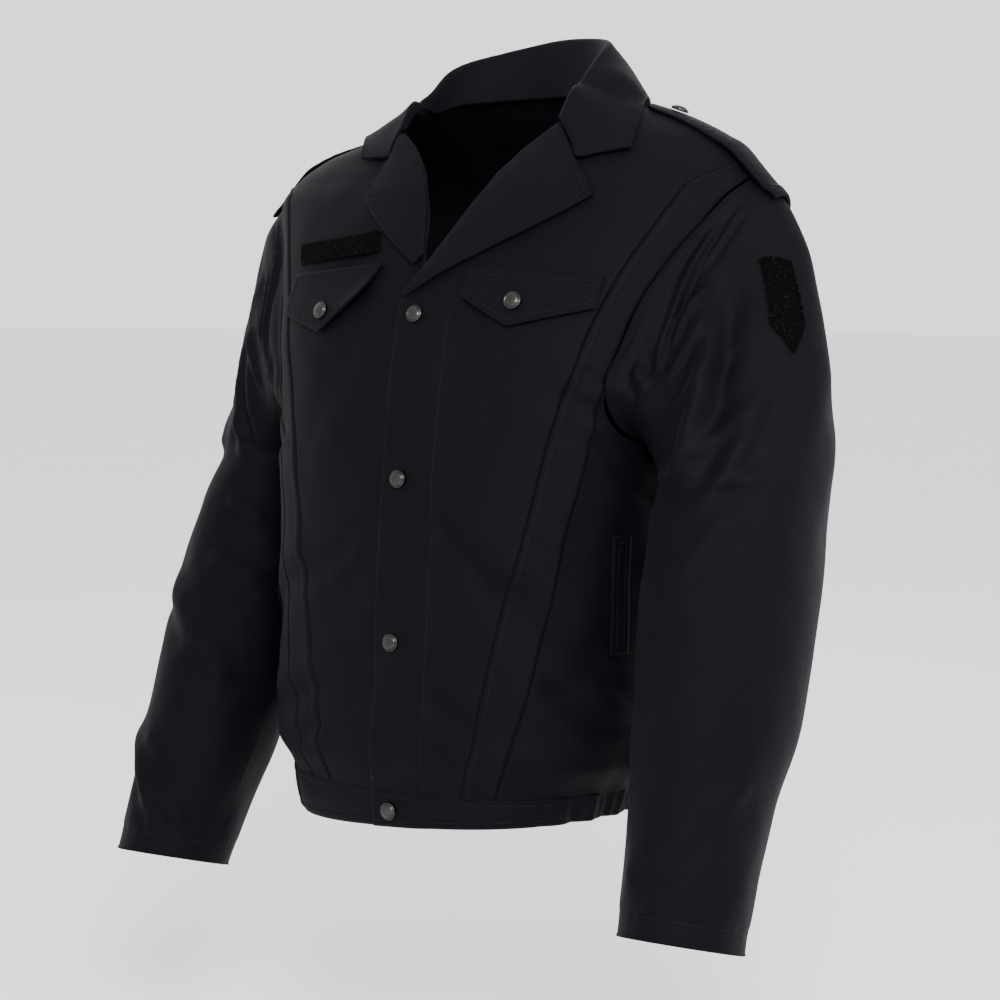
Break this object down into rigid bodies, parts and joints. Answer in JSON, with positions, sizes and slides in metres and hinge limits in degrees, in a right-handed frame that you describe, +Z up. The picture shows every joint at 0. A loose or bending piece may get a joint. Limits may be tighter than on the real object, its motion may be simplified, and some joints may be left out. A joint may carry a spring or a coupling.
{
  "type": "police uniform jacket",
  "caption": "Short hollow uniform jacket in navy twill with notched lapels, shoulder straps, pointed chest pocket flaps, snap closing and gathered waistband.",
  "frame": {"origin": "midway between the shoulders, where the wearer carries the jacket", "axes": "+Z up, +X towards the wearer's left, -Y the front with the closing"},
  "size_m": [0.6266, 0.3174, 0.7118],
  "materials": {
    "twill": "fine navy twill with a soft sheen",
    "pile": "black hook-and-loop pile",
    "snap": "satin gunmetal snap caps"
  },
  "bodies": {
    "root": {"arm_patch": "pile", "back": "twill", "collar": "twill", "epaulette_left": "twill", "epaulette_right": "twill", "front_center_left": "twill", "front_center_right": "twill", "front_strip_left": "twill", "front_strip_right": "twill", "lapel_left": "twill", "lapel_right": "twill", "name_strip": "pile", "pocket_flap_left": "twill", "pocket_flap_right": "twill", "side_left": "twill", "side_right": "twill", "side_welt_left": "twill", "side_welt_right": "twill", "sleeve_left": "twill", "sleeve_right": "twill", "snap_epaulette_left": "snap", "snap_epaulette_right": "snap", "snap_flap_left": "snap", "snap_flap_right": "snap", "snap_front_1": "snap", "snap_front_2": "snap", "snap_front_3": "snap", "snap_waistband": "snap", "waistband": "twill"}
  },
  "joints": []
}
